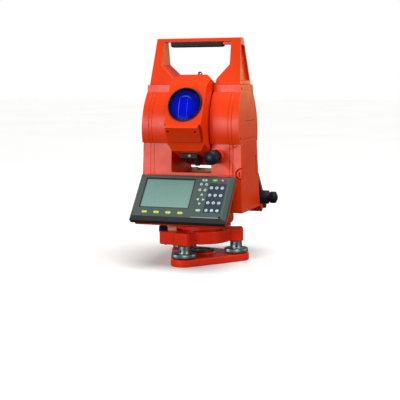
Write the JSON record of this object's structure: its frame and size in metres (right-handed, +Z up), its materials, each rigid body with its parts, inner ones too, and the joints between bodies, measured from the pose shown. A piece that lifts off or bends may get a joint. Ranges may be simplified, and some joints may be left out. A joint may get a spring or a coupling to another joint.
{
  "type": "surveying total station",
  "caption": "Total station on a three-screw tribrach: yoke with turning telescope, sloping keyboard front and rear, carrying handle, side battery and paired drive knobs.",
  "frame": {"origin": "centre of the tripod thread at the underside of the tribrach's base plate", "axes": "+Z up along the vertical axis, -Y the front (keyboard and objective side at rest), +X the right side seen from the front"},
  "size_m": [0.1881, 0.2192, 0.342],
  "materials": {
    "orange_paint": "satin",
    "red_paint": "satin",
    "bezel_plastic": "fine matt",
    "lcd": "matt glass",
    "keypad_rubber": "matt",
    "red_key": "satin",
    "green_key": "satin",
    "yellow_key": "satin",
    "black_plastic": "satin",
    "black_metal": "black anodised",
    "grip_rubber": "matt",
    "steel": "turned",
    "bronze_metal": "satin",
    "optical_glass": "coated",
    "circle_glass": "polished",
    "board": "satin"
  },
  "bodies": {
    "tribrach": {"base_plate": "red_paint", "thread_bush": "steel", "hub_ring": "black_plastic", "tribrach_body": "red_paint", "screw_bushes": "steel", "lock_boss": "bronze_metal", "centring_flange": "red_paint", "horizontal_circle": "circle_glass", "circular_level": "bronze_metal"},
    "foot_screw_front": {"foot_screw_front": "steel"},
    "foot_screw_right": {"foot_screw_right": "steel"},
    "foot_screw_left": {"foot_screw_left": "steel"},
    "clamp_ring": {"clamp_ring": "steel"},
    "lock_knob": {"lock_knob": "black_plastic"},
    "alidade": {"yoke_frame": "orange_paint", "standards": "orange_paint", "spindle": "steel", "base_skirt": "orange_paint", "left_cover": "orange_paint", "right_cover": "orange_paint", "handle_frame": "orange_paint", "handle_grip": "grip_rubber", "casing_screws": "steel", "front_shell": "orange_paint", "front_bezel": "bezel_plastic", "front_lcd": "lcd", "front_keypad": "keypad_rubber", "rear_shell": "orange_paint", "rear_bezel": "bezel_plastic", "rear_lcd": "lcd", "rear_keypad": "keypad_rubber", "trunnion_bearings": "steel", "main_board": "board", "plate_level": "bronze_metal", "tangent_housing": "orange_paint"},
    "battery": {"battery_pack": "orange_paint"},
    "battery_latch": {"battery_latch": "orange_paint"},
    "vertical_clamp": {"vertical_clamp": "black_plastic"},
    "vertical_tangent": {"vertical_tangent": "black_plastic"},
    "horizontal_clamp": {"horizontal_clamp": "black_plastic"},
    "horizontal_tangent": {"horizontal_tangent": "black_plastic"},
    "telescope": {"telescope_housing": "orange_paint", "edm_cover": "orange_paint", "objective_barrel": "black_metal", "objective_lens": "optical_glass", "edm_unit": "black_plastic", "trunnion_axles": "steel", "vertical_circle": "circle_glass", "upper_sight": "black_plastic", "lower_sight": "black_plastic", "eyepiece_tube": "black_metal"},
    "focus_ring": {"focus_ring": "black_plastic"},
    "eyepiece_ring": {"eyepiece_ring": "black_plastic"},
    "power_key": {"power_key": "red_key"},
    "star_key": {"star_key": "green_key"},
    "menu_key": {"menu_key": "keypad_rubber"},
    "f1_key": {"f1_key": "yellow_key"},
    "f2_key": {"f2_key": "yellow_key"},
    "f3_key": {"f3_key": "yellow_key"},
    "f4_key": {"f4_key": "yellow_key"}
  },
  "joints": [
    {"name": "foot_screw_front_spin", "type": "hinge", "parent": "tribrach", "child": "foot_screw_front", "pos_m": [-0.00938, -0.05318, 0.015], "axis": [0, 0, 1], "range_deg": [-1800, 1800]},
    {"name": "foot_screw_right_spin", "type": "hinge", "parent": "tribrach", "child": "foot_screw_right", "pos_m": [0.05074, 0.01847, 0.015], "axis": [0, 0, 1], "range_deg": [-1800, 1800]},
    {"name": "foot_screw_left_spin", "type": "hinge", "parent": "tribrach", "child": "foot_screw_left", "pos_m": [-0.04137, 0.03471, 0.015], "axis": [0, 0, 1], "range_deg": [-1800, 1800]},
    {"name": "lock_turn", "type": "hinge", "parent": "tribrach", "child": "lock_knob", "pos_m": [0.00752, -0.02067, 0.0525], "axis": [-0.9397, -0.342, 0], "range_deg": [0, 180]},
    {"name": "clamp_ring_turn", "type": "hinge", "parent": "tribrach", "child": "clamp_ring", "pos_m": [0, 0, 0.0395], "axis": [0, 0, 1], "range_deg": [0, 9]},
    {"name": "alidade_turn", "type": "hinge", "parent": "tribrach", "child": "alidade", "pos_m": [0, 0, 0.08], "axis": [0, 0, 1], "continuous": true},
    {"name": "battery_slide", "type": "slide", "parent": "alidade", "child": "battery", "axis": [1, 0, 0], "range_m": [0, 0.06]},
    {"name": "battery_latch_press", "type": "slide", "parent": "alidade", "child": "battery_latch", "axis": [0, 1, 0], "range_m": [0, 0.002], "stiffness_N_per_m": 800},
    {"name": "vertical_clamp_turn", "type": "hinge", "parent": "alidade", "child": "vertical_clamp", "pos_m": [0.0412, -0.056, 0.166], "axis": [0, -1, 0], "range_deg": [-40, 40]},
    {"name": "vertical_tangent_turn", "type": "hinge", "parent": "alidade", "child": "vertical_tangent", "pos_m": [0.0412, -0.07, 0.166], "axis": [0, -1, 0], "range_deg": [-1080, 1080]},
    {"name": "horizontal_clamp_turn", "type": "hinge", "parent": "alidade", "child": "horizontal_clamp", "pos_m": [0.085, 0.058, 0.0945], "axis": [1, 0, 0], "range_deg": [-40, 40]},
    {"name": "horizontal_tangent_turn", "type": "hinge", "parent": "alidade", "child": "horizontal_tangent", "pos_m": [0.1, 0.058, 0.0945], "axis": [1, 0, 0], "range_deg": [-1080, 1080]},
    {"name": "telescope_tilt", "type": "hinge", "parent": "alidade", "child": "telescope", "pos_m": [0, 0, 0.218], "axis": [-1, 0, 0], "continuous": true},
    {"name": "focus_turn", "type": "hinge", "parent": "telescope", "child": "focus_ring", "pos_m": [0, 0, 0.218], "axis": [0, -0.9367, 0.3502], "range_deg": [-300, 300]},
    {"name": "eyepiece_turn", "type": "hinge", "parent": "telescope", "child": "eyepiece_ring", "pos_m": [0, 0, 0.218], "axis": [0, -0.9367, 0.3502], "range_deg": [-180, 180]},
    {"name": "power_key_press", "type": "slide", "parent": "alidade", "child": "power_key", "axis": [0, 0.7727, -0.6347], "range_m": [0, 0.0007], "stiffness_N_per_m": 600},
    {"name": "star_key_press", "type": "slide", "parent": "alidade", "child": "star_key", "axis": [0, 0.7727, -0.6347], "range_m": [0, 0.0007], "stiffness_N_per_m": 600},
    {"name": "menu_key_press", "type": "slide", "parent": "alidade", "child": "menu_key", "axis": [0, 0.7727, -0.6347], "range_m": [0, 0.0007], "stiffness_N_per_m": 600},
    {"name": "f1_key_press", "type": "slide", "parent": "alidade", "child": "f1_key", "axis": [0, 0.7727, -0.6347], "range_m": [0, 0.0007], "stiffness_N_per_m": 600},
    {"name": "f2_key_press", "type": "slide", "parent": "alidade", "child": "f2_key", "axis": [0, 0.7727, -0.6347], "range_m": [0, 0.0007], "stiffness_N_per_m": 600},
    {"name": "f3_key_press", "type": "slide", "parent": "alidade", "child": "f3_key", "axis": [0, 0.7727, -0.6347], "range_m": [0, 0.0007], "stiffness_N_per_m": 600},
    {"name": "f4_key_press", "type": "slide", "parent": "alidade", "child": "f4_key", "axis": [0, 0.7727, -0.6347], "range_m": [0, 0.0007], "stiffness_N_per_m": 600}
  ],
  "couplings": [
    {"joint": "clamp_ring_turn", "follows": "lock_turn", "ratio": 0.05}
  ]
}
